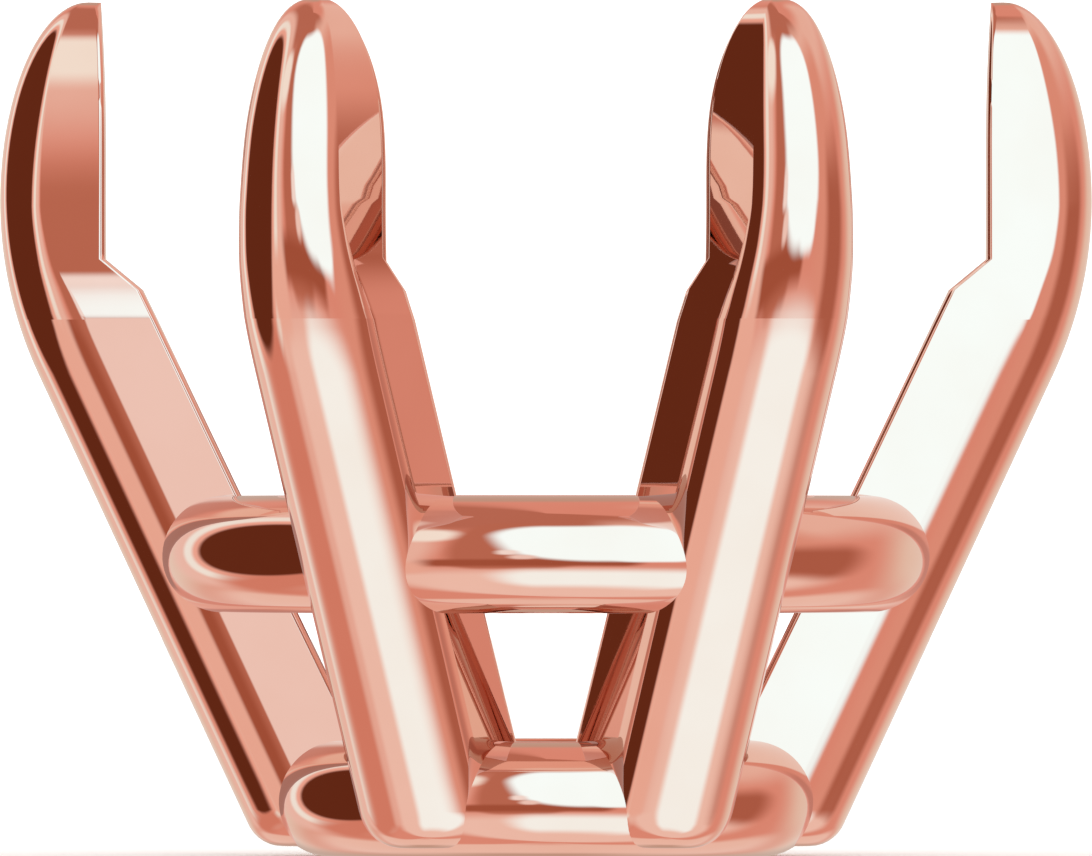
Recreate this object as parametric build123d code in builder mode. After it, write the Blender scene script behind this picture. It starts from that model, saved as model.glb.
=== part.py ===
from build123d import *
import math
import os

# A basket head that holds one round stone: leaning prongs with domed tips, joined by two rails.
# All sizes are in millimetres. The axis of the rails is Z, and the lower rail stands on Z = 0.

# Stone and its seat
stone_diameter = 6.5
seat_height = 4.36  # the stone's edge above the base
seat_slope = 40.0  # bearing under the stone, in degrees from level

# Prongs
prong_count = 6
prong_width = 1.04
leg_depth = 0.915  # square to the leg, from its outer line to its inner face
leg_lean = 25.0  # degrees from upright
foot_height = 0.075  # the legs end this far above the base
foot_round = 0.27
inner_bevel = 0.04

# Prong tips
tip_depth = 0.75  # metal outside the stone's edge at the widest level
tip_rise = 1.45  # from the widest level to the top
tip_fullness = 2.3  # 2 is a plain oval dome, more is fuller
widest_above_seat = 0.43
tip_start_below_bearing = 0.23  # from the bearing's lower edge down to where the tip starts
bend_radius = 3.0  # outer line, from the lean to upright
tip_core_inset = 0.03  # the tip's core line lies this far inside the stone's edge

# Rails
rail_height = 0.85
rail_setback = 0.26  # the rails' outer edge behind the legs' outer line
rail_inner_setback = 0.1  # the rails' inner wall behind the legs' inner faces
upper_rail_level = 2.21  # centre of the upper rail

# How finely the tip's sections are spaced, and how far cuts and blanks run past the metal
lower_tip_steps = 3
dome_steps = 7
cut_margin = 1.0
blank_margin = 0.3

# Levels and radii that follow
seat_radius = stone_diameter / 2
half_width = prong_width / 2
widest_level = seat_height + widest_above_seat
top_level = widest_level + tip_rise
widest_radius = seat_radius + tip_depth
core_radius = seat_radius - tip_core_inset
lean = math.radians(leg_lean)
rail_round = rail_height / 2

# The outer line turns about this centre, between the straight leg and the widest level
bend_centre_radius = widest_radius - bend_radius
bend_low_radius = bend_centre_radius + bend_radius * math.cos(lean)
bend_low_level = widest_level - bend_radius * math.sin(lean)
# A prong is drawn deeper than it ends up, and the well and the taper are cut out of it
flat_depth = leg_depth + blank_margin - half_width


def outer_radius(level):
    """Radius of the legs' straight outer line at a level."""
    return bend_low_radius - (bend_low_level - level) * math.tan(lean)


def inner_radius(level):
    """Radius of the tapered inside at a level."""
    return outer_radius(level) - leg_depth / math.cos(lean)


def bend_radius_at(level):
    """Radius of the bent outer line at a level."""
    return bend_centre_radius + math.sqrt(bend_radius**2 - (widest_level - level) ** 2)


# The bearing rises outward from the tapered inside, and the tip starts below the line where they meet
inner_slope = math.tan(lean)
bearing_slope = math.tan(math.radians(seat_slope))
bearing_start_radius = (
    inner_radius(0) + inner_slope * (seat_height - bearing_slope * seat_radius)
) / (1 - inner_slope * bearing_slope)
bearing_start_level = seat_height - bearing_slope * (seat_radius - bearing_start_radius)
tip_start_level = bearing_start_level - tip_start_below_bearing
tip_start_angle = math.degrees(math.asin((widest_level - tip_start_level) / bend_radius))


def tip_section(level, core, depth, share=1.0):
    """Flat-sided half oval across a tip; share makes it smaller about its core line."""
    side = half_width * share
    back = core - flat_depth * share
    with BuildSketch(Plane.XY.offset(level), mode=Mode.PRIVATE) as section:
        with BuildLine():
            Polyline((core, side), (back, side), (back, -side), (core, -side))
            EllipticalCenterArc((core, 0), depth * share, side, start_angle=-90, arc_size=180)
        make_face()
    return section.sketch.face()


# One prong, on the +X side
with BuildPart() as prong:
    # The leg, a half-round bar drawn square to its own length
    leg_plane = Plane(
        origin=(bend_low_radius, 0, bend_low_level),
        x_dir=(math.cos(lean), 0, -math.sin(lean)),
        z_dir=(-math.sin(lean), 0, -math.cos(lean)),
    )
    with BuildSketch(leg_plane) as leg_section:
        with Locations((-half_width, 0)):
            Circle(half_width)
            Rectangle(flat_depth, prong_width, align=(Align.MAX, Align.CENTER))
    extrude(amount=(bend_low_level + cut_margin) / math.cos(lean))
    split(bisect_by=Plane.XY.offset(foot_height), keep=Keep.TOP)
    foot_edges = prong.faces().sort_by(Axis.Z)[0].edges().sort_by(Axis.X)[1:]
    fillet(foot_edges, radius=foot_round)

    # The bend, the same bar turned about the bend's centre
    bend_axis = Axis((bend_centre_radius, 0, widest_level), (0, -1, 0))
    revolve(leg_section.sketch, axis=bend_axis, revolution_arc=leg_lean - tip_start_angle / 2)
    split(bisect_by=Plane.XY.offset(tip_start_level), keep=Keep.BOTTOM)

    # The tip, from the bar's own section to a half oval, which then closes in a dome
    tip_sections = [prong.faces().sort_by(Axis.Z)[-1]]
    start_core = bend_radius_at(tip_start_level) - half_width
    for step in range(1, lower_tip_steps + 1):
        share = step / lower_tip_steps
        level = tip_start_level + share * (widest_level - tip_start_level)
        core = start_core + share * (core_radius - start_core)
        tip_sections.append(tip_section(level, core, bend_radius_at(level) - core))
    for step in range(1, dome_steps):
        turn = math.pi / 2 * step / dome_steps
        share = math.cos(turn) ** (2 / tip_fullness)
        level = widest_level + tip_rise * math.sin(turn) ** (2 / tip_fullness)
        tip_sections.append(tip_section(level, core_radius, widest_radius - core_radius, share))
    loft(sections=[*tip_sections, Vertex(core_radius, 0, top_level)])

    # The stone's well, whose cone-shaped floor is the bearing
    with BuildSketch(Plane.XZ):
        with BuildLine():
            Polyline(
                (0, seat_height - bearing_slope * seat_radius),
                (seat_radius, seat_height),
                (seat_radius, top_level + cut_margin),
                (0, top_level + cut_margin),
                close=True,
            )
        make_face()
    revolve(axis=Axis.Z, mode=Mode.SUBTRACT)

    # The tapered inside below the bearing
    with BuildSketch(Plane.XZ):
        with BuildLine():
            Polyline(
                (0, -cut_margin),
                (inner_radius(-cut_margin), -cut_margin),
                (inner_radius(seat_height), seat_height),
                (0, seat_height),
                close=True,
            )
        make_face()
    revolve(axis=Axis.Z, mode=Mode.SUBTRACT)

    # Bevel along both long edges of the inner face, from the foot round the top
    inner_faces = prong.faces().filter_by(GeomType.CONE)
    inner_faces += prong.faces().filter_by(GeomType.CYLINDER).sort_by(Axis.Z)[-1:]
    long_edges = inner_faces.edges().filter_by(GeomType.CIRCLE, reverse=True)
    chamfer(long_edges, length=inner_bevel)

# The whole head: the rails are soldered through the prongs
with BuildPart() as basket_setting:
    for level in (rail_round, upper_rail_level):
        low, high = level - rail_round, level + rail_round
        round_centre = outer_radius(level) - rail_setback - rail_round
        with BuildSketch(Plane.XZ):
            with BuildLine():
                Polyline(
                    (round_centre, low),
                    (inner_radius(low) + rail_inner_setback, low),
                    (inner_radius(high) + rail_inner_setback, high),
                    (round_centre, high),
                )
                RadiusArc((round_centre, high), (round_centre, low), rail_round)
            make_face()
        revolve(axis=Axis.Z)
    with PolarLocations(0, prong_count):
        add(prong.part)

basket_setting.part.label = "basket_setting"
os.makedirs("parts", exist_ok=True)
export_step(basket_setting.part, "parts/basket_setting.step")
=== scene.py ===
import math

import bmesh
import bpy
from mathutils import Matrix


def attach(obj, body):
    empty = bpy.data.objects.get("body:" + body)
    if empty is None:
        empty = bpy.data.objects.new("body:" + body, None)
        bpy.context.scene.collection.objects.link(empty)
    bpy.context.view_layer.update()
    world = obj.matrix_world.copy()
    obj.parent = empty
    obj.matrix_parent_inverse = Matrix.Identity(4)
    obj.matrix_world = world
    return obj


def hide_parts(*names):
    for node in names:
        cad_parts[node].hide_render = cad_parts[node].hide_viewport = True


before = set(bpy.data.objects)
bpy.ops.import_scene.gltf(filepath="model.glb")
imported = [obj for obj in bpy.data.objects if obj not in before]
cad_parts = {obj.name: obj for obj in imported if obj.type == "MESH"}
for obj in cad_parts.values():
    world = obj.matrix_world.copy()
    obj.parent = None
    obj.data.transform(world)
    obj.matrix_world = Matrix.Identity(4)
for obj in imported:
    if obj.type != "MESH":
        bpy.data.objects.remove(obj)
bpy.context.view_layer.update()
print("frame loaded")

# Pieces are drawn in millimetres, because the tools work badly on very small sizes, and shrunk at the end
toMetres = 0.001
near = 1e-4  # two places this close are the same, in millimetres
colourBelow, colourAbove, colourMixed = 6, 7, 2  # where a Mix node keeps its colours among its sockets


def hexToLinear(code):
    # the usual curve from a screen's colour to light
    channels = [int(code[i:i + 2], 16) / 255 for i in (1, 3, 5)]
    return [c / 12.92 if c <= 0.04045 else ((c + 0.055) / 1.055) ** 2.4 for c in channels] + [1.0]


def addNode(tree, kind, inputs=None, **settings):
    node = tree.nodes.new(kind)
    for name, value in settings.items():
        setattr(node, name, value)
    for name, value in (inputs or {}).items():
        if isinstance(value, bpy.types.NodeSocket):
            tree.links.new(value, node.inputs[name])
        else:
            node.inputs[name].default_value = value
    return node


def startEditing():
    bpy.ops.object.mode_set(mode="EDIT")
    bpy.ops.mesh.select_mode(type="VERT")


def selectVerts(test):
    mesh = bmesh.from_edit_mesh(bpy.context.object.data)
    for vert in mesh.verts:
        vert.select = bool(test(vert))
    mesh.select_flush_mode()
    mesh.select_flush(True)
    bmesh.update_edit_mesh(bpy.context.object.data)


def selectGroup(level, groupName=None):
    # the vertices at one level, or the ones of them that belong to a vertex group
    piece = bpy.context.object
    mesh = bmesh.from_edit_mesh(piece.data)
    weights = mesh.verts.layers.deform.verify()
    index = piece.vertex_groups[groupName].index if groupName else None
    for vert in mesh.verts:
        vert.select = abs(vert.co.z - level) < near and (index is None or index in vert[weights])
    mesh.select_flush_mode()
    mesh.select_flush(True)
    bmesh.update_edit_mesh(piece.data)


def rememberGroup(groupName, test):
    selectVerts(test)
    bpy.context.object.vertex_groups.new(name=groupName)
    bpy.ops.object.vertex_group_assign()


# The prongs: a bar with a round back and nearly flat sides, and a tip whose sides draw in towards its nose
prong = {
    "count": 6,
    "width": 1.04,
    "legDepth": 0.915,  # square to the leg, outer line to inner face
    "lean": math.radians(25),
    "footLevel": 0.075,
    "footRound": 0.27,
    "edgeRound": 0.046,  # both long edges of the inner face
    "edgeShare": 0.45,  # of half the width, the most that an edge takes near the tip's end
    "stoneDiameter": 6.5,
    "seatHeight": 4.36,
    "seatSlope": math.radians(40),
    "tipDepth": 0.738,
    "tipRise": 1.4485,
    "domePower": 0.905,  # how full the tip closes across; 1 is a plain oval, less is fuller
    "deepPower": 1.02,  # and from the well to the nose
    "capForward": 0.1,  # the tip's highest point is this far outside the stone's edge
    "widestLevel": 4.79,
    "tipStart": 3.92,
    "bendRadius": 3.0,
    "flatSpread": 0.026,  # each side, from the round back to the inner face
    # the tip by level: how deep its round nose is, how wide it is next to the leg, and how much narrower
    # its nose is than its inner face, as a share
    "noseDepth": ((3.92, 0.549), (4.1, 0.494), (4.3, 0.412), (4.5, 0.362), (4.79, 0.325), (6.24, 0.325)),
    "widthShare": ((3.92, 1.0), (4.1, 0.972), (4.3, 0.952), (4.79, 0.94), (5.1, 0.952), (5.5, 0.983),
                   (5.8, 0.992), (6.24, 0.985)),
    "drawnIn": ((3.92, 0.0), (4.1, 0.03), (4.3, 0.1), (4.5, 0.172), (4.79, 0.25), (5.1, 0.315),
                (5.3, 0.355), (5.8, 0.495), (6.24, 0.63)),
    "tipStep": 0.045,  # between the tip's rings, up to its widest level
    "cageLevels": 41,  # of the lattice that draws the tip in
    "arcSteps": 48,  # round the outside
    "innerSteps": 16,  # across the inner face
    "cornerSteps": 4,
    "footSteps": 9,
    "legSteps": 16,
    "bendSteps": 6,
    "domeSteps": 26,
}
halfWidth = prong["width"] / 2
seatRadius = prong["stoneDiameter"] / 2
widestRadius = seatRadius + prong["tipDepth"]
bendCentre = widestRadius - prong["bendRadius"]
bendLowRadius = bendCentre + prong["bendRadius"] * math.cos(prong["lean"])
bendLowLevel = prong["widestLevel"] - prong["bendRadius"] * math.sin(prong["lean"])
taperAtZero = (bendLowRadius - bendLowLevel * math.tan(prong["lean"])
               - prong["legDepth"] / math.cos(prong["lean"]))
bearingSlope = math.tan(prong["seatSlope"])
bearingStart = (prong["seatHeight"] - bearingSlope * (seatRadius - taperAtZero)) / (
    1 - bearingSlope * math.tan(prong["lean"]))


def legLine(level):
    return bendLowRadius - (bendLowLevel - level) * math.tan(prong["lean"])


def innerAt(level):
    # the wall round the axis: tapered inside, then the stone's bearing, then the well
    taper = legLine(level) - prong["legDepth"] / math.cos(prong["lean"])
    bearing = seatRadius - (prong["seatHeight"] - level) / math.tan(prong["seatSlope"])
    return min(max(taper, bearing), seatRadius)


def bendLine(level, radius):
    # a line of the bent bar, at its own radius round the bend's centre
    if level < prong["widestLevel"] - radius * math.sin(prong["lean"]):
        return legLine(level) - (prong["bendRadius"] - radius) / math.cos(prong["lean"])
    return bendCentre + math.sqrt(radius**2 - (prong["widestLevel"] - level) ** 2)


def footInset(level):
    # how far the rounded foot has drawn in, at the sides and along the outer line
    left = prong["footRound"] - (level - prong["footLevel"])
    if left <= 0:
        return 0, 0
    reach = math.sqrt(prong["footRound"]**2 - left**2)
    side = prong["footRound"] - reach
    if left <= prong["footRound"] * math.sin(prong["lean"]):
        return side, 0  # the leaning outer line hasn't reached the round yet
    centre = legLine(prong["footLevel"] + prong["footRound"]) - prong["footRound"] / math.cos(prong["lean"])
    return side, max(0, legLine(level) - centre - reach)


def tipAt(name, level):
    # a smooth curve through the pairs of level and value
    points = prong[name]
    if not points[0][0] < level < points[-1][0]:
        return points[0][1] if level <= points[0][0] else points[-1][1]
    i = max(i for i in range(len(points) - 1) if points[i][0] <= level)
    slopes = []
    for k in (i, i + 1):
        before, after = points[max(k - 1, 0)], points[min(k + 1, len(points) - 1)]
        slopes.append((after[1] - before[1]) / (after[0] - before[0]))
    (low, start), (high, end) = points[i], points[i + 1]
    span, t = high - low, (level - low) / (high - low)
    return (start * (1 + 2 * t) * (1 - t)**2 + slopes[0] * span * t * (1 - t)**2
            + end * t * t * (3 - 2 * t) + slopes[1] * span * t * t * (t - 1))


def domeShare(level, power):
    # what is left of a width at a level of the dome
    risen = max(0, level - prong["widestLevel"]) / prong["tipRise"]
    return max(0, 1 - risen**(2 / power))**(power / 2)


def ringAt(level):
    # all that one level ring of the prong is shaped by
    ring = {"level": level, "inner": innerAt(level)}
    sideInset, outerInset = footInset(level)
    wide, deep = domeShare(level, prong["domePower"]), domeShare(level, prong["deepPower"])
    ring["half"] = halfWidth * tipAt("widthShare", level) * wide - sideInset
    ring["side"] = ring["half"] * (1 + prong["flatSpread"] / halfWidth)
    if level < prong["widestLevel"]:
        ring["outer"] = bendLine(level, prong["bendRadius"]) - outerInset
    else:
        ring["outer"] = seatRadius + prong["tipDepth"] * deep + prong["capForward"] * (1 - deep)
    if level < prong["tipStart"]:
        ring["core"] = bendLine(level, prong["bendRadius"] - halfWidth)
    else:
        ring["core"] = ring["outer"] - tipAt("noseDepth", level) * deep
    ring["round"] = min(prong["edgeRound"], prong["edgeShare"] * ring["side"])
    ring["landing"] = ring["side"] - ring["round"]
    ring["sag"] = ring["inner"] - math.sqrt(ring["inner"]**2 - ring["landing"]**2)
    ring["corner"] = ring["inner"] - ring["sag"]
    return ring


def moveGroup(level, groupName, centre, scale, move):
    selectGroup(level, groupName)
    bpy.ops.transform.resize(value=scale, center_override=centre)
    bpy.ops.transform.translate(value=move)


def growRing(old, new):
    # pulls a new ring out of the last one and shapes it, the outside and the inner face each by itself
    selectGroup(old["level"])
    bpy.ops.mesh.extrude_region_move(
        TRANSFORM_OT_translate={"value": (0, 0, new["level"] - old["level"])})
    level = new["level"]
    moveGroup(
        level, "outside", (old["core"], 0, level),
        ((new["outer"] - new["core"]) / (old["outer"] - old["core"]), new["half"] / old["half"], 1),
        (new["core"] - old["core"], 0, 0))
    moveGroup(
        level, "innerFace", (old["inner"], 0, level),
        (new["sag"] / old["sag"], new["landing"] / old["landing"], 1),
        (new["inner"] - old["inner"], 0, 0))
    cornerScale = new["round"] / old["round"]
    for side, groupName in ((1, "cornerLeft"), (-1, "cornerRight")):
        moveGroup(
            level, groupName, (old["corner"], side * old["landing"], level),
            (cornerScale, cornerScale, 1),
            (new["corner"] - old["corner"], side * (new["landing"] - old["landing"]), 0))


def startRing(first):
    # the ring at the top of the rounded foot, drawn as an edge loop
    level, corner = first["level"], first["corner"] + first["round"]
    bpy.ops.mesh.primitive_circle_add(
        vertices=2 * prong["arcSteps"], radius=first["half"], location=(first["core"], 0, level))
    bpy.ops.object.transform_apply(location=True, rotation=True, scale=True)

    # the outside is nearly half a circle, stretched to the leaning bar's depth
    startEditing()
    selectVerts(lambda v: v.co.x < first["core"] + near)
    bpy.ops.mesh.delete(type="VERT")
    bpy.ops.mesh.select_all(action="SELECT")
    bpy.ops.transform.resize(
        value=((first["outer"] - first["core"]) / first["half"], 1, 1),
        center_override=(first["core"], 0, level))

    # nearly flat sides, a small rounding at each inner corner, and an inner face bowed round the axis
    arcEnd = min(v.co.x for v in bmesh.from_edit_mesh(bpy.context.object.data).verts)
    arcHalf = first["half"] * math.cos(math.pi / prong["arcSteps"])
    for side in (1, -1):
        selectVerts(lambda v: abs(v.co.x - arcEnd) < near and v.co.y * side > 0)
        bpy.ops.mesh.extrude_vertices_move(
            TRANSFORM_OT_translate={"value": (corner - arcEnd, side * (first["side"] - arcHalf), 0)})
        bpy.ops.mesh.spin(
            steps=prong["cornerSteps"], angle=-side * math.pi / 2, axis=(0, 0, 1),
            center=(corner, side * first["landing"], level))
    bow = 2 * math.asin(first["landing"] / first["inner"])
    selectVerts(lambda v: abs(v.co.x - first["corner"]) < near and v.co.y < 0)
    bpy.ops.mesh.spin(steps=prong["innerSteps"], angle=-bow, axis=(0, 0, 1), center=(0, 0, level))
    bpy.ops.mesh.select_all(action="SELECT")
    bpy.ops.mesh.remove_doubles(threshold=near)

    # each part of the ring is a vertex group, which new rings inherit
    landing = first["landing"] + near
    rememberGroup("outside", lambda v: v.co.x > arcEnd - near)
    rememberGroup("innerFace", lambda v: v.co.x < first["inner"] + near and abs(v.co.y) < landing)
    rememberGroup("cornerLeft", lambda v: v.co.x < corner + near and v.co.y > landing)
    rememberGroup("cornerRight", lambda v: v.co.x < corner + near and v.co.y < -landing)


def markSharp(level, groupName):
    selectGroup(level, groupName)
    bpy.ops.mesh.mark_sharp()


def drawInTip(piece):
    # a lattice round the tip narrows it towards its nose
    low, high = prong["tipStart"], prong["widestLevel"] + prong["tipRise"]
    size = (widestRadius - seatRadius, 2 * halfWidth, high - low)
    middle = (seatRadius + size[0] / 2, 0, (low + high) / 2)
    bpy.ops.object.select_all(action="DESELECT")
    bpy.ops.object.add(type="LATTICE", location=middle)
    cage = bpy.context.object
    cage.scale = size
    cage.data.points_u, cage.data.points_v, cage.data.points_w = 2, 2, prong["cageLevels"]
    for way in ("u", "v", "w"):
        setattr(cage.data, "interpolation_type_" + way, "KEY_LINEAR")
    for point in cage.data.points:
        level = middle[2] + point.co.z * size[2]
        if point.co.x > 0:
            point.co_deform.y = point.co.y * (1 - tipAt("drawnIn", level))
    bpy.ops.object.select_all(action="DESELECT")
    piece.select_set(True)
    bpy.context.view_layer.objects.active = piece
    bpy.ops.object.modifier_add(type="LATTICE")
    piece.modifiers[-1].object = cage
    bpy.ops.object.modifier_apply(modifier=piece.modifiers[-1].name)
    bpy.ops.object.select_all(action="DESELECT")
    cage.select_set(True)
    bpy.ops.object.delete()


shading = {
    "smoothUpTo": math.radians(35),
    "flatWeight": 90,  # how much the large faces decide, from 1 to 100
}


def finishShading(piece):
    # smooth, with the flats kept flat to their edges
    bpy.ops.object.select_all(action="DESELECT")
    piece.select_set(True)
    bpy.context.view_layer.objects.active = piece
    bpy.ops.object.shade_smooth_by_angle(angle=shading["smoothUpTo"], keep_sharp_edges=True)
    bpy.ops.object.modifier_add(type="WEIGHTED_NORMAL")
    piece.modifiers[-1].weight = shading["flatWeight"]
    piece.modifiers[-1].keep_sharp = True
    bpy.ops.object.modifier_apply(modifier=piece.modifiers[-1].name)


def makeProng():
    bpy.ops.object.select_all(action="DESELECT")
    footTop = prong["footLevel"] + prong["footRound"]
    first = ringAt(footTop)
    startRing(first)
    piece = bpy.context.object
    piece.name = piece.data.name = "prong_1"

    # up the leg and the bend, over the bearing to the widest level, and closed in a dome
    levels = [footTop + (bendLowLevel - footTop) * i / prong["legSteps"]
              for i in range(1, prong["legSteps"] + 1)]
    levels += [bendLowLevel + (prong["tipStart"] - bendLowLevel) * i / prong["bendSteps"]
               for i in range(1, prong["bendSteps"] + 1)]
    stops = [prong["tipStart"], bearingStart, prong["seatHeight"], prong["widestLevel"]]
    for low, high in zip(stops, stops[1:]):
        steps = math.ceil((high - low) / prong["tipStep"])
        levels += [low + (high - low) * i / steps for i in range(1, steps + 1)]
    rings = [ringAt(level) for level in levels]
    for i in range(1, prong["domeSteps"]):
        turn = math.pi / 2 * i / prong["domeSteps"]
        rings.append(ringAt(prong["widestLevel"] + prong["tipRise"] * math.sin(turn)))
    last = first
    for ring in rings:
        growRing(last, ring)
        last = ring
    selectGroup(last["level"])
    bpy.ops.mesh.extrude_region_move(TRANSFORM_OT_translate={
        "value": (0, 0, prong["widestLevel"] + prong["tipRise"] - last["level"])})
    bpy.ops.mesh.merge(type="CENTER")

    # down the rounded foot, and closed flat
    last = first
    for i in range(1, prong["footSteps"] + 1):
        turn = math.pi / 2 * (1 - i / prong["footSteps"])
        ring = ringAt(footTop - prong["footRound"] * math.cos(turn))
        growRing(last, ring)
        last = ring
    selectGroup(last["level"])
    bpy.ops.mesh.edge_face_add()

    # crisp lines where the tip leaves the bar, and at both ends of the bearing
    markSharp(prong["tipStart"], "outside")
    markSharp(bearingStart, "innerFace")
    markSharp(prong["seatHeight"], "innerFace")
    bpy.ops.mesh.select_all(action="SELECT")
    bpy.ops.mesh.normals_make_consistent(inside=False)
    bpy.ops.object.mode_set(mode="OBJECT")
    drawInTip(piece)
    finishShading(piece)
    return piece


def copyRound(piece, count):
    # copies a piece round the axis, each copy with its own mesh
    copies = [piece]
    for i in range(1, count):
        bpy.ops.object.select_all(action="DESELECT")
        piece.select_set(True)
        bpy.context.view_layer.objects.active = piece
        bpy.ops.object.duplicate()
        made = bpy.context.object
        made.name = made.data.name = f"prong_{i + 1}"
        bpy.ops.transform.rotate(value=2 * math.pi * i / count, orient_axis="Z", center_override=(0, 0, 0))
        bpy.ops.object.transform_apply(location=True, rotation=True, scale=True)
        copies.append(made)
    return copies


# The two rails that the prongs are soldered to
rail = {
    "height": 0.85,
    "setback": 0.26,  # the outer edge behind the legs' outer line
    "innerSetback": 0.1,  # the inner wall behind the legs' inner faces
    "levels": {"lower_rail": 0.425, "upper_rail": 2.21},
    "edgeRound": 0.03,
    "edgeSteps": 3,
    "arcSteps": 32,
    "turnSteps": 240,
}


def makeRail(name, level):
    radius = rail["height"] / 2
    centre = legLine(level) - rail["setback"] - radius
    inner = {z: innerAt(z) + rail["innerSetback"] for z in (level - radius, level + radius)}
    bpy.ops.object.select_all(action="DESELECT")
    bpy.ops.mesh.primitive_circle_add(
        vertices=2 * rail["arcSteps"], radius=radius, location=(centre, 0, level),
        rotation=(math.pi / 2, 0, 0))
    piece = bpy.context.object
    piece.name = piece.data.name = name
    bpy.ops.object.transform_apply(location=True, rotation=True, scale=True)
    startEditing()

    # half a circle outside, flat above and below, and a wall that leans as the legs do
    selectVerts(lambda v: v.co.x < centre - near)
    bpy.ops.mesh.delete(type="VERT")
    for z, wall in inner.items():
        selectVerts(lambda v: abs(v.co.x - centre) < near and abs(v.co.z - z) < near)
        bpy.ops.mesh.extrude_vertices_move(TRANSFORM_OT_translate={"value": (wall - centre, 0, 0)})
    selectVerts(lambda v: v.co.x < centre - near)
    bpy.ops.mesh.edge_face_add()
    bpy.ops.mesh.bevel(offset=rail["edgeRound"], segments=rail["edgeSteps"], affect="VERTICES")
    bpy.ops.mesh.select_all(action="SELECT")
    bpy.ops.mesh.spin(steps=rail["turnSteps"], angle=2 * math.pi, axis=(0, 0, 1), center=(0, 0, 0))
    bpy.ops.mesh.select_all(action="SELECT")
    bpy.ops.mesh.remove_doubles(threshold=near)
    bpy.ops.mesh.normals_make_consistent(inside=False)
    bpy.ops.object.mode_set(mode="OBJECT")
    finishShading(piece)
    return piece


# Cast rose gold, tumbled and buffed to a mirror: the tent shows in it with crisp edges, a touch softer where
# a film of polish is left, and its long straight lines waver a little, as they do on metal finished by hand
roseGold = {
    "colour": "#F3C8B6",
    "filmed": "#F1C4B1",
    "roughness": (0.014, 0.034),  # clean, and under the film
    "filmSize": 0.9,
    "filmDetail": 3.0,
    "filmFrom": 0.35,  # the noise value where the film starts
    "filmTo": 0.7,  # and where it is whole
    "waveSize": 0.4,
    "waveHeight": 0.0001,
    "lineSize": (0.03, 0.03, 0.6),  # buffing lines; real ones are near 0.005 wide and wouldn't show
    "lineHeight": 0.000006,
    "fineDetail": 2.0,  # of the waves and the lines
}


def makePolishedRoseGold():
    material = bpy.data.materials.new("polished_rose_gold")
    material.use_nodes = True
    tree = material.node_tree
    tree.nodes.clear()
    place = addNode(tree, "ShaderNodeTexCoord").outputs["Object"]

    # the film of polish, which dulls and tints the metal in soft patches
    film = addNode(tree, "ShaderNodeTexNoise", {
        "Vector": place, "Scale": 1 / (roseGold["filmSize"] * toMetres),
        "Detail": roseGold["filmDetail"]}).outputs[0]
    amount = addNode(tree, "ShaderNodeMapRange", {
        "Value": film, "From Min": roseGold["filmFrom"], "From Max": roseGold["filmTo"]}).outputs["Result"]
    colour = addNode(tree, "ShaderNodeMix", {
        "Factor": amount, colourBelow: hexToLinear(roseGold["colour"]),
        colourAbove: hexToLinear(roseGold["filmed"])}, data_type="RGBA").outputs[colourMixed]
    clean, filmed = roseGold["roughness"]
    roughness = addNode(tree, "ShaderNodeMapRange", {
        "Value": amount, "To Min": clean, "To Max": filmed}).outputs["Result"]

    # what the hand left: shallow waves, and under them the lines of the buff
    wave = addNode(tree, "ShaderNodeTexNoise", {
        "Vector": place, "Scale": 1 / (roseGold["waveSize"] * toMetres),
        "Detail": roseGold["fineDetail"]}).outputs[0]
    waved = addNode(tree, "ShaderNodeBump", {
        "Height": wave, "Strength": 1.0, "Distance": roseGold["waveHeight"] * toMetres}).outputs["Normal"]
    stretch = [1 / (size * toMetres) for size in roseGold["lineSize"]]
    along = addNode(tree, "ShaderNodeVectorMath", {0: place, 1: stretch}, operation="MULTIPLY").outputs[0]
    lines = addNode(tree, "ShaderNodeTexNoise", {
        "Vector": along, "Scale": 1.0, "Detail": roseGold["fineDetail"]}).outputs[0]
    lined = addNode(tree, "ShaderNodeBump", {
        "Height": lines, "Strength": 1.0, "Distance": roseGold["lineHeight"] * toMetres,
        "Normal": waved}).outputs["Normal"]
    metal = addNode(tree, "ShaderNodeBsdfPrincipled", {
        "Base Color": colour, "Metallic": 1.0, "Roughness": roughness, "Normal": lined})
    addNode(tree, "ShaderNodeOutputMaterial", {"Surface": metal.outputs["BSDF"]})
    return material


# A level camera far off with a very long lens, for a view with hardly any perspective
studio = {
    "lens": 1320,
    "sensor": 36,  # the width that Blender gives a new camera
    "frameWidth": 7.977,  # what the picture's width takes in
    "lookLevel": 3.129,
    "clip": (0.05, 2),  # in metres
}


def makeCamera():
    distance = studio["lens"] * studio["frameWidth"] / studio["sensor"] * toMetres
    bpy.ops.object.select_all(action="DESELECT")
    bpy.ops.object.camera_add(
        location=(0, -distance, studio["lookLevel"] * toMetres), rotation=(math.pi / 2, 0, 0))
    camera = bpy.context.object
    camera.name = "long_lens"
    camera.data.lens = studio["lens"]
    camera.data.clip_start, camera.data.clip_end = studio["clip"]
    bpy.context.scene.camera = camera


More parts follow.
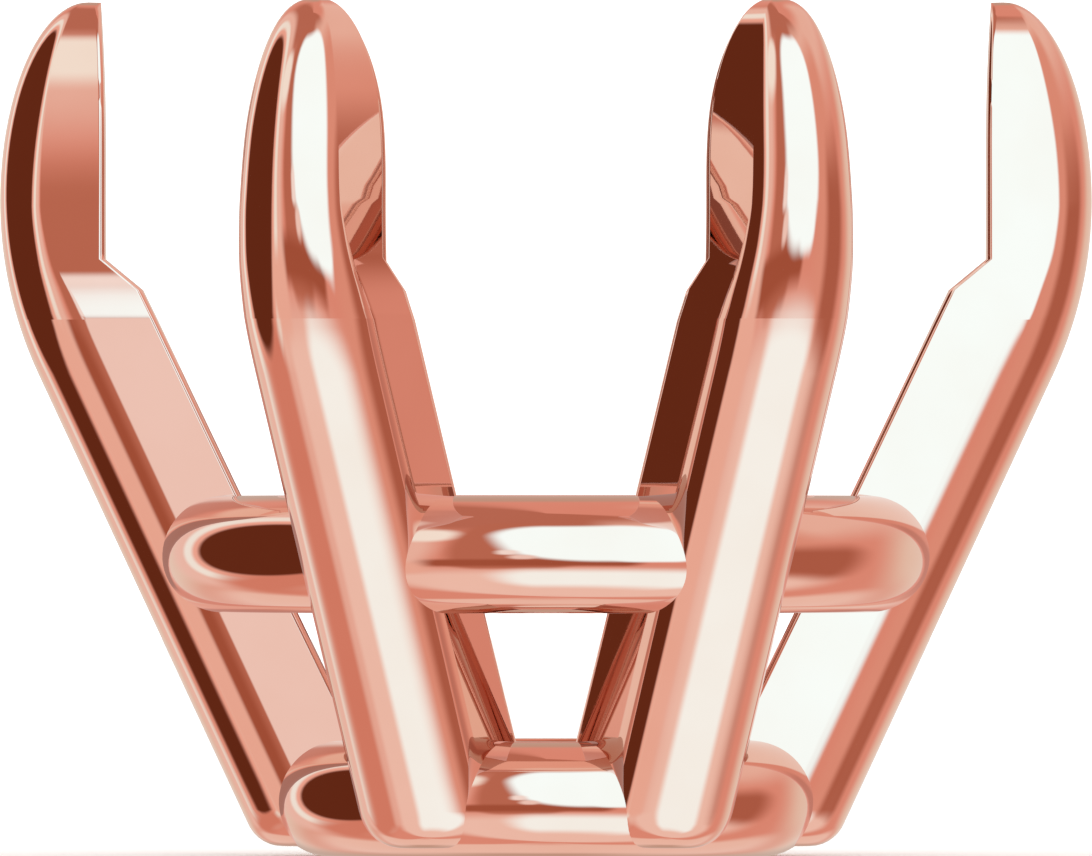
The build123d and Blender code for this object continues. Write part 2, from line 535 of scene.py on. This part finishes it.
# What the polished metal sees round it, like a jeweller's light tent. Places and sizes are in degrees:
# azimuth from the camera's side (0), positive to the right, and height above the horizon. Later patches lie
# over earlier ones. A patch is a rectangle with round corners, or round where it has no half sizes, and its
# edge is at least as round as it is soft.
tent = {
    "backdrop": 1.45,  # what lights the floor and shows behind the object
    "between": {"colour": "#F2F4FF", "strength": 1.05},  # what the faces' reflections of each other tend to
    "betweenShare": 0.42,
    "betweenFrom": 1.5,  # from the second reflection
    "deepShade": {"colour": "#CDC5C2"},  # what later reflections are dimmed by
    "deepFrom": 2.5,  # from the third reflection
    "walls": {"colour": "#E5AB9E"},
    "patches": {
        # floor, ceiling and what stands behind the object
        "paleFloor": {"at": (24, -62), "half": (86, 33), "round": 14, "blur": 12, "colour": "#F7EBE8"},
        "floorBehind": {"at": (182, -56), "half": (48, 27), "round": 16, "blur": 7, "colour": "#F4E4DE"},
        "ceiling": {"at": (-49, 82), "half": (116, 36), "round": 12, "blur": 12, "colour": "#BF8372"},
        "paleBehind": {"at": (180, -2), "half": (54, 20), "round": 19, "blur": 12.5, "colour": "#ECE5DB"},
        "tanBehind": {"at": (181, 0), "half": (8.7, 50), "round": 7, "blur": 7, "colour": "#C8B4A8"},
        # the right side
        "paleRightUp": {"at": (92, 43), "half": (67, 20.5), "round": 12, "blur": 12, "colour": "#F1D9D2"},
        "salmonRight": {"at": (70, 8), "half": (20.5, 37), "round": 14, "blur": 12, "colour": "#E5B0A2"},
        "shadeRight": {"at": (90.5, -11), "half": (18.5, 20.5), "round": 9, "blur": 8.5, "colour": "#B37360"},
        # brown cards in front, and light from the paper below
        "brownFront": {"at": (-11, 19), "half": (19, 46), "round": 10, "blur": 3.6, "colour": "#C0826F"},
        "brownUnder": {"at": (-7, -15), "half": (36, 6.5), "round": 6, "blur": 3.5, "colour": "#A8654F"},
        "creamFloor": {"at": (27, -47), "half": (44, 17), "round": 14, "blur": 8, "colour": "#CDF2FF",
                       "strength": 1.67},
        # a dark round opening on the left, inside pale rims
        "haloSoft": {"at": (-91, 7), "round": 56, "blur": 5, "colour": "#F3DFDA"},
        "creamHigh": {"at": (-41, 36), "half": (10.5, 11), "round": 9, "blur": 4, "colour": "#E3FBFF",
                      "strength": 1.29},
        "haloCream": {"at": (-91, 7), "round": 46.5, "blur": 2, "colour": "#E2FBFF", "strength": 1.25},
        "haloPink": {"at": (-91, 7), "round": 40.5, "blur": 2, "colour": "#F5CBC1"},
        "salmonUnder": {"at": (-101, -36), "half": (30, 13), "round": 11, "blur": 8, "colour": "#DB9B8B"},
        "pinkUnder": {"at": (-52, -23), "half": (14, 11), "round": 9, "blur": 5, "colour": "#F3D4CB"},
        "darkRound": {"at": (-91, 7), "round": 36, "blur": 2, "colour": "#673522"},
        # the softbox in front, its left edge leaning, and small pale cards beside it
        "softboxFoot": {"at": (33, -4), "half": (13, 9), "round": 7.5, "blur": 3, "colour": "#C0EDFF",
                        "strength": 2.0},
        "softbox": {"at": (18.8, 23), "half": (34, 35), "round": 23.5, "blur": 4, "lean": 0.22,
                    "colour": "#C0EDFF", "strength": 2.0},
        "paleSide": {"at": (-11.5, 5), "half": (3.2, 4.5), "round": 3, "blur": 2, "colour": "#E6F6FF",
                     "strength": 1.25},
        "paleFoot": {"at": (-7, -4), "half": (4, 4), "round": 3.5, "blur": 2, "colour": "#F8F7FA"},
    },
}


def seenColour(look):
    strength = look.get("strength", 1.0)
    return [channel * strength for channel in hexToLinear(look["colour"])[:3]] + [1.0]


def makeWorld():
    world = bpy.data.worlds.new("light_tent")
    world.use_nodes = True
    tree = world.node_tree
    tree.nodes.clear()

    # the direction, as azimuth and height in degrees
    way = addNode(tree, "ShaderNodeTexCoord").outputs["Generated"]
    part = addNode(tree, "ShaderNodeSeparateXYZ", {"Vector": way}).outputs
    ahead = addNode(tree, "ShaderNodeMath", {0: part["Y"], 1: -1.0}, operation="MULTIPLY").outputs[0]
    turn = addNode(tree, "ShaderNodeMath", {0: part["X"], 1: ahead}, operation="ARCTAN2").outputs[0]
    rise = addNode(tree, "ShaderNodeMath", {0: part["Z"]}, operation="ARCSINE").outputs[0]
    angles = addNode(tree, "ShaderNodeCombineXYZ", {"X": turn, "Y": rise}).outputs[0]
    place = addNode(
        tree, "ShaderNodeVectorMath", {0: angles, "Scale": math.degrees(1)}, operation="SCALE").outputs[0]

    seen = seenColour(tent["walls"])
    for patch in tent["patches"].values():
        across, up = (math.radians(angle) for angle in patch["at"])
        if "half" not in patch:
            # round: the angle from the middle of the patch
            middle = (math.sin(across) * math.cos(up), -math.cos(across) * math.cos(up), math.sin(up))
            facing = addNode(
                tree, "ShaderNodeVectorMath", {0: way, 1: middle}, operation="DOT_PRODUCT").outputs["Value"]
            angle = addNode(tree, "ShaderNodeMath", {0: facing}, operation="ARCCOSINE").outputs[0]
            away = addNode(tree, "ShaderNodeMath", {0: angle}, operation="DEGREES").outputs[0]
        else:
            # a rectangle, measured the short way round, whose left edge may lean
            offset = addNode(
                tree, "ShaderNodeVectorMath", {0: place, 1: (*patch["at"], 0)},
                operation="SUBTRACT").outputs[0]
            offset = addNode(
                tree, "ShaderNodeVectorMath", {0: offset, 1: (180, 180, 180), 2: (-180, -180, -180)},
                operation="WRAP").outputs[0]
            if "lean" in patch:
                side = addNode(tree, "ShaderNodeSeparateXYZ", {"Vector": offset}).outputs
                onLeft = addNode(
                    tree, "ShaderNodeMath", {0: side["X"], 1: 0.0}, operation="LESS_THAN").outputs[0]
                leaning = addNode(
                    tree, "ShaderNodeMath", {0: onLeft, 1: patch["lean"]}, operation="MULTIPLY").outputs[0]
                shifted = addNode(
                    tree, "ShaderNodeMath", {0: side["Y"], 1: leaning, 2: side["X"]},
                    operation="MULTIPLY_ADD").outputs[0]
                offset = addNode(
                    tree, "ShaderNodeCombineXYZ", {"X": shifted, "Y": side["Y"]}).outputs[0]
            core = (patch["half"][0] - patch["round"], patch["half"][1] - patch["round"], 0)
            size = addNode(tree, "ShaderNodeVectorMath", {0: offset}, operation="ABSOLUTE").outputs[0]
            gap = addNode(tree, "ShaderNodeVectorMath", {0: size, 1: core}, operation="SUBTRACT").outputs[0]
            gap = addNode(
                tree, "ShaderNodeVectorMath", {0: gap, 1: (0, 0, 0)}, operation="MAXIMUM").outputs[0]
            away = addNode(tree, "ShaderNodeVectorMath", {0: gap}, operation="LENGTH").outputs["Value"]
        outer, inner = patch["round"] + patch["blur"], patch["round"] - patch["blur"]
        cover = addNode(
            tree, "ShaderNodeMapRange", {"Value": away, "From Min": outer, "From Max": inner},
            interpolation_type="SMOOTHSTEP").outputs["Result"]
        seen = addNode(
            tree, "ShaderNodeMix", {"Factor": cover, colourBelow: seen, colourAbove: seenColour(patch)},
            data_type="RGBA").outputs[colourMixed]

    # where the metal's faces mirror each other the tent is paler, or the rose colour would pile up to red
    ray = addNode(tree, "ShaderNodeLightPath").outputs
    twice = addNode(
        tree, "ShaderNodeMath", {0: ray["Glossy Depth"], 1: tent["betweenFrom"]},
        operation="GREATER_THAN").outputs[0]
    share = addNode(
        tree, "ShaderNodeMath", {0: twice, 1: tent["betweenShare"]}, operation="MULTIPLY").outputs[0]
    seen = addNode(
        tree, "ShaderNodeMix", {"Factor": share, colourBelow: seen, colourAbove: seenColour(tent["between"])},
        data_type="RGBA").outputs[colourMixed]
    deep = addNode(
        tree, "ShaderNodeMath", {0: ray["Glossy Depth"], 1: tent["deepFrom"]},
        operation="GREATER_THAN").outputs[0]
    seen = addNode(
        tree, "ShaderNodeMix",
        {"Factor": deep, colourBelow: seen, colourAbove: seenColour(tent["deepShade"])},
        data_type="RGBA", blend_type="MULTIPLY").outputs[colourMixed]

    # only the metal's own reflections see the tent; the camera and the floor get plain white
    plain = [tent["backdrop"]] * 3 + [1.0]
    colour = addNode(
        tree, "ShaderNodeMix", {"Factor": ray["Is Glossy Ray"], colourBelow: plain, colourAbove: seen},
        data_type="RGBA").outputs[colourMixed]
    light = addNode(tree, "ShaderNodeBackground", {"Color": colour, "Strength": 1.0})
    addNode(tree, "ShaderNodeOutputWorld", {"Surface": light.outputs["Background"]})
    world.cycles.sampling_method = "NONE"  # the tent is bright all round, so no bright spot is searched for
    bpy.context.scene.world = world
    bpy.context.scene.view_settings.view_transform = "Standard"


# Matt white paper: no shine, and a grain that only shows from close by
floor = {
    "radius": 0.3,  # in metres
    "sides": 96,
    "colours": ("#EFECE9", "#EDEAE7"),
    "roughness": 0.9,
    "grainSize": 0.25,  # the paper's fibres, in millimetres as its height is
    "grainHeight": 0.002,
    "grainDetail": 4.0,
    "grainStrength": 0.3,
}


def makeFloor():
    bpy.ops.object.select_all(action="DESELECT")
    bpy.ops.mesh.primitive_circle_add(vertices=floor["sides"], radius=floor["radius"], fill_type="NGON")
    sweep = bpy.context.object
    sweep.name = sweep.data.name = "studio_floor"
    material = bpy.data.materials.new("matte_paper_sweep")
    material.use_nodes = True
    tree = material.node_tree
    tree.nodes.clear()
    place = addNode(tree, "ShaderNodeTexCoord").outputs["Object"]
    grain = addNode(tree, "ShaderNodeTexNoise", {
        "Vector": place, "Scale": 1 / (floor["grainSize"] * toMetres),
        "Detail": floor["grainDetail"]}).outputs[0]
    light, dark = (hexToLinear(code) for code in floor["colours"])
    colour = addNode(
        tree, "ShaderNodeMix", {"Factor": grain, colourBelow: light, colourAbove: dark},
        data_type="RGBA").outputs[colourMixed]
    bump = addNode(tree, "ShaderNodeBump", {
        "Height": grain, "Strength": floor["grainStrength"],
        "Distance": floor["grainHeight"] * toMetres}).outputs["Normal"]
    paper = addNode(tree, "ShaderNodeBsdfPrincipled", {
        "Base Color": colour, "Roughness": floor["roughness"], "Normal": bump})
    addNode(tree, "ShaderNodeOutputMaterial", {"Surface": paper.outputs["BSDF"]})
    sweep.data.materials.append(material)
    sweep.visible_glossy = False  # the metal reflects the tent, which has its own floor


prongs = copyRound(makeProng(), prong["count"])
rails = [makeRail(name, level) for name, level in rail["levels"].items()]
print("metal modelled")

metal = makePolishedRoseGold()
print("metal polished")
for piece in prongs + rails:
    piece.vertex_groups.clear()
    piece.scale = (toMetres, toMetres, toMetres)
    bpy.ops.object.select_all(action="DESELECT")
    piece.select_set(True)
    bpy.context.view_layer.objects.active = piece
    bpy.ops.object.transform_apply(location=True, rotation=True, scale=True)
    piece.data.materials.append(metal)
    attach(piece, "root")
    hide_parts("basket_setting")

makeCamera()
makeWorld()
makeFloor()
print("studio made")
